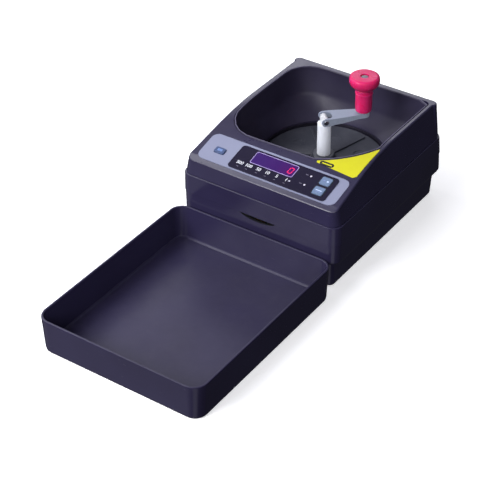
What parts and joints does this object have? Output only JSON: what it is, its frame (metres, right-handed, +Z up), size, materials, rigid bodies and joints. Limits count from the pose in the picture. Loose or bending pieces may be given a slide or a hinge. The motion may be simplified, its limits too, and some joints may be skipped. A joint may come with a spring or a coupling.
{
  "type": "coin sorting machine",
  "caption": "Hand-cranked desktop coin sorting machine: dark wedge-shaped housing with a square hopper, display panel, folding crank with pink knob, and an open catch tray in front.",
  "frame": {"origin": "on the table, under the middle of the footprint of machine and catch tray together", "axes": "+X to the user's right, +Y from the user towards the machine's rear, +Z up; the user and the catch tray are at -Y"},
  "size_m": [0.175, 0.414, 0.1415],
  "materials": {
    "housing_dark": "moulded dark indigo, semi-gloss",
    "bowl_dark": "moulded near-black, gloss",
    "panel_silver": "satin silver-lilac overlay",
    "panel_black": "gloss black overlay",
    "window_purple": "tinted purple window",
    "module_grey": "grey",
    "key_blue": "pale blue, satin",
    "lamp_white": "clear white",
    "board_green": "solder-resist green",
    "label_yellow": "printed yellow film",
    "post_white": "white acetal",
    "knob_pink": "crimson pink, satin gloss",
    "moulded_natural": "natural acetal",
    "disc_grey": "grey moulding, worn by coins",
    "moulded_black": "black moulding",
    "cell_jacket": "printed jacket",
    "foot_rubber": "soft rubber",
    "bush_brass": "sintered",
    "steel": "plated",
    "arm_steel": "satin plated sheet"
  },
  "bodies": {
    "housing": {"lower_housing": "housing_dark", "battery_cover": "housing_dark", "foot_front_left": "foot_rubber", "foot_front_right": "foot_rubber", "foot_rear_left": "foot_rubber", "foot_rear_right": "foot_rubber", "case_screw_1": "steel", "case_screw_2": "steel", "case_screw_3": "steel", "case_screw_4": "steel", "panel_inlay": "panel_silver", "display_panel": "panel_black", "display_window": "window_purple", "display_module": "module_grey", "count_key_switch": "moulded_black", "clear_key_switch": "moulded_black", "power_key_switch": "moulded_black", "upper_lamp": "lamp_white", "lower_lamp": "lamp_white", "main_board": "board_green", "board_screw_1": "steel", "board_screw_2": "steel", "board_screw_3": "steel", "board_screw_4": "steel", "top_cover": "housing_dark", "corner_label": "label_yellow", "hopper_bowl": "bowl_dark", "disc_deck": "moulded_black", "deck_screw_1": "steel", "deck_screw_2": "steel", "deck_screw_3": "steel", "deck_screw_4": "steel", "outlet_chute": "moulded_black", "coin_sensor": "moulded_black", "coin_gate": "steel", "sensor_ribbon": "module_grey", "shaft_bush": "bush_brass", "foot_bearing": "moulded_natural", "encoder_spindle": "steel", "encoder_board": "board_green", "encoder_fork": "moulded_black", "battery_holder": "moulded_black", "battery_1": "cell_jacket", "battery_2": "cell_jacket", "battery_3": "cell_jacket", "battery_4": "cell_jacket"},
    "crank": {"crank_post": "post_white", "coin_disc": "disc_grey", "drive_gear": "moulded_natural", "shaft_clip": "steel"},
    "arm": {"crank_arm": "arm_steel", "hinge_pin": "steel", "knob_spindle": "steel"},
    "knob": {"crank_knob": "knob_pink"},
    "encoder": {"encoder_pinion": "moulded_natural", "encoder_wheel": "moulded_black"},
    "tray": {"catch_tray": "housing_dark"},
    "count_key": {"count_key": "key_blue"},
    "clear_key": {"clear_key": "key_blue"},
    "power_key": {"power_key": "key_blue"}
  },
  "joints": [
    {"name": "crank_turn", "type": "hinge", "parent": "housing", "child": "crank", "pos_m": [0, 0.122, 0.0985], "axis": [0, 0, 1], "continuous": true},
    {"name": "crank_fold", "type": "hinge", "parent": "crank", "child": "arm", "pos_m": [0, 0.122, 0.0985], "axis": [0.7071, -0.7071, 0], "range_deg": [0, 180]},
    {"name": "knob_spin", "type": "hinge", "parent": "arm", "child": "knob", "pos_m": [0.02687, 0.14887, 0.12], "axis": [0, 0, 1], "continuous": true},
    {"name": "encoder_spin", "type": "hinge", "parent": "housing", "child": "encoder", "pos_m": [-0.02652, 0.14852, 0.0405], "axis": [0, 0, 1], "continuous": true},
    {"name": "tray_slide", "type": "slide", "parent": "housing", "child": "tray", "axis": [0, -1, 0], "range_m": [0, 0.08]},
    {"name": "count_key_press", "type": "slide", "parent": "housing", "child": "count_key", "axis": [0, 0.2398, -0.9708], "range_m": [0, 0.0012]},
    {"name": "clear_key_press", "type": "slide", "parent": "housing", "child": "clear_key", "axis": [0, 0.2398, -0.9708], "range_m": [0, 0.0012]},
    {"name": "power_key_press", "type": "slide", "parent": "housing", "child": "power_key", "axis": [0, 0.2398, -0.9708], "range_m": [0, 0.0012]}
  ],
  "couplings": [
    {"joint": "encoder_spin", "follows": "crank_turn", "ratio": -4}
  ]
}
